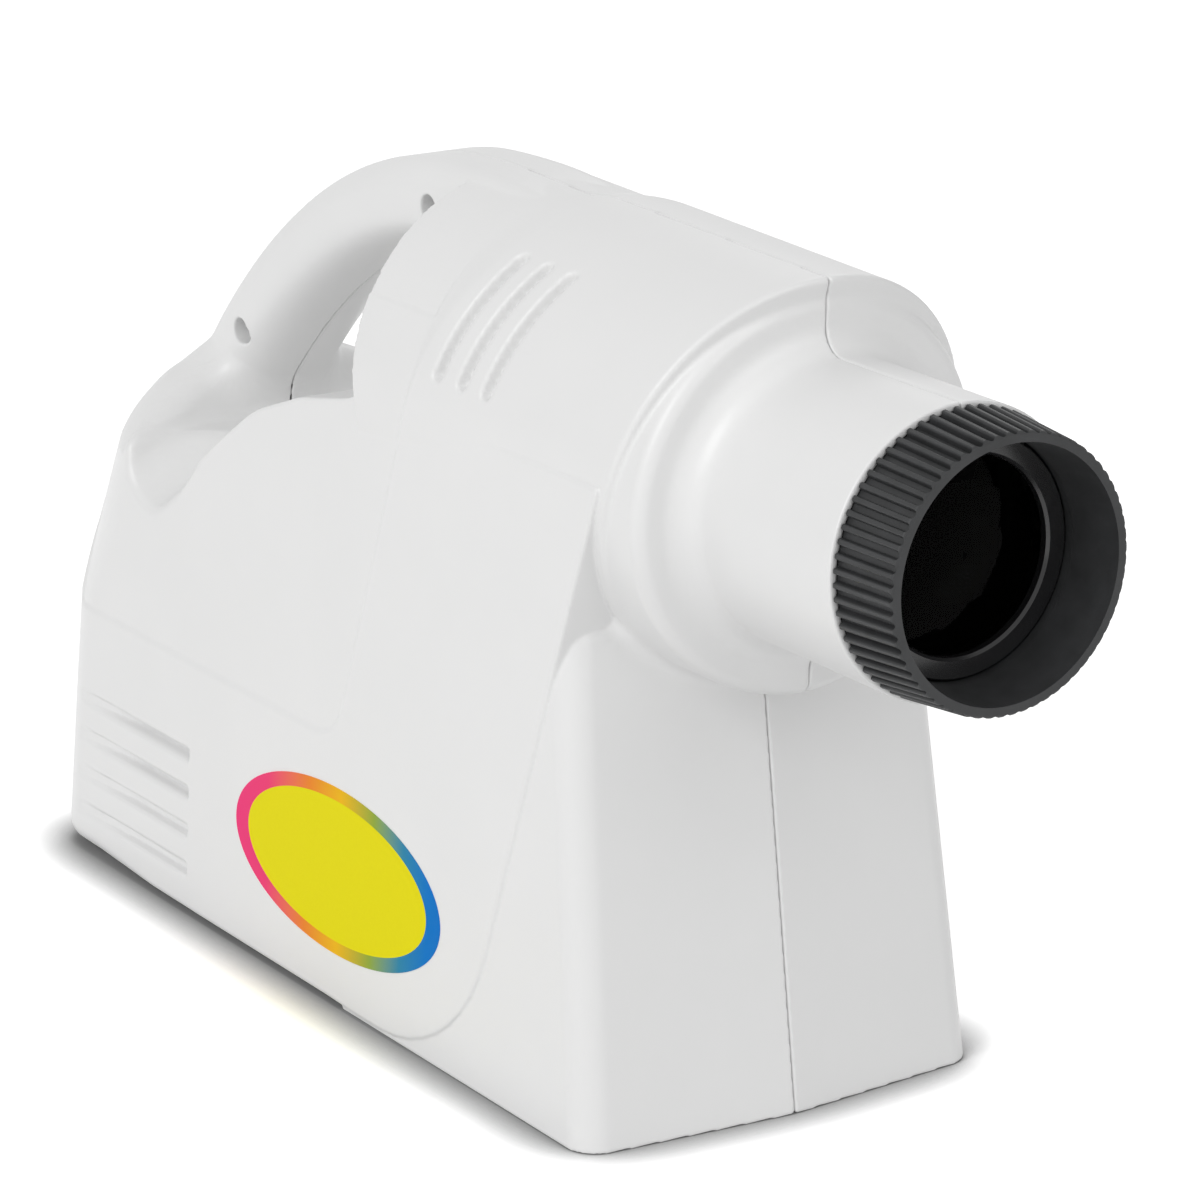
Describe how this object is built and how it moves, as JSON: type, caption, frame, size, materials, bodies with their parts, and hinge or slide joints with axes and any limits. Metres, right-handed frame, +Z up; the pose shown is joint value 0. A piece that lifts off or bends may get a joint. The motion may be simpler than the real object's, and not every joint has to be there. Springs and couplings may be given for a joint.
{
  "type": "opaque projector",
  "caption": "Desktop opaque projector: open-bottomed hood over the copy, mirror and focusing lens in a barrel, lamp house behind and a carrying handle.",
  "frame": {"origin": "middle of the footprint, on the surface the projector stands on", "axes": "+X along the lens axis towards the screen, +Z up, Y across; y = 0 is the parting plane of the two shells"},
  "size_m": [0.4328, 0.1418, 0.2535],
  "materials": {
    "white_shell": "satin",
    "black_grip": "satin",
    "black_inner": "matte",
    "lens_black": "gloss",
    "lens_glass": "coated",
    "mirror_coat": "polished",
    "sheet_metal": "brushed",
    "bulb_glass": "frosted",
    "cap_brass": "satin",
    "ceramic": "glazed",
    "steel": "zinc plated",
    "foot_rubber": "matte",
    "label_film": "gloss printed"
  },
  "bodies": {
    "housing": {"left_shell": "white_shell", "right_shell": "white_shell", "oval_label": "label_film", "guide_tube": "black_inner", "mirror": "mirror_coat", "mirror_carrier": "sheet_metal", "mirror_clip_left": "steel", "mirror_clip_right": "steel", "light_baffle": "sheet_metal", "heat_shield": "sheet_metal", "reflector": "sheet_metal", "socket_bracket": "sheet_metal", "lamp_socket": "ceramic", "bulb_cap": "cap_brass", "bulb_globe": "bulb_glass", "door_hinge_pin": "steel", "switch_frame": "black_inner", "cord_gland": "black_inner", "gland_nut": "black_inner", "base_frame": "black_inner", "rubber_foot_left": "foot_rubber", "rubber_foot_right": "foot_rubber", "shell_screw_1": "steel", "shell_screw_2": "steel", "shell_screw_3": "steel", "shell_screw_4": "steel", "shell_screw_5": "steel", "bracket_screw_1": "steel", "bracket_screw_2": "steel", "bracket_screw_3": "steel", "bracket_screw_4": "steel"},
    "focus": {"focus_ring": "black_grip"},
    "lens": {"lens_cell": "lens_black", "cam_pin_1": "steel", "cam_pin_2": "steel", "cam_pin_3": "steel", "lens_front": "lens_glass", "lens_rear": "lens_glass", "lens_spacer": "black_inner", "lens_retainer": "black_inner"},
    "door": {"lamp_door": "white_shell", "door_pull": "white_shell"},
    "rocker": {"switch_rocker": "black_grip"}
  },
  "joints": [
    {"name": "focus_turn", "type": "hinge", "parent": "housing", "child": "focus", "pos_m": [0.2021, 0, 0.1877], "axis": [1, 0, 0], "range_deg": [-90, 150]},
    {"name": "lens_slide", "type": "slide", "parent": "housing", "child": "lens", "axis": [1, 0, 0], "range_m": [-0.006, 0.01]},
    {"name": "door_swing", "type": "hinge", "parent": "housing", "child": "door", "pos_m": [-0.2117, 0, 0.0302], "axis": [0, -1, 0], "range_deg": [0, 85]},
    {"name": "rocker_tilt", "type": "hinge", "parent": "housing", "child": "rocker", "pos_m": [-0.2129, 0.036, 0.032], "axis": [0, -1, 0], "range_deg": [0, 16]}
  ],
  "couplings": [
    {"joint": "lens_slide", "follows": "focus_turn", "m_per_rad": 0.0038197}
  ]
}
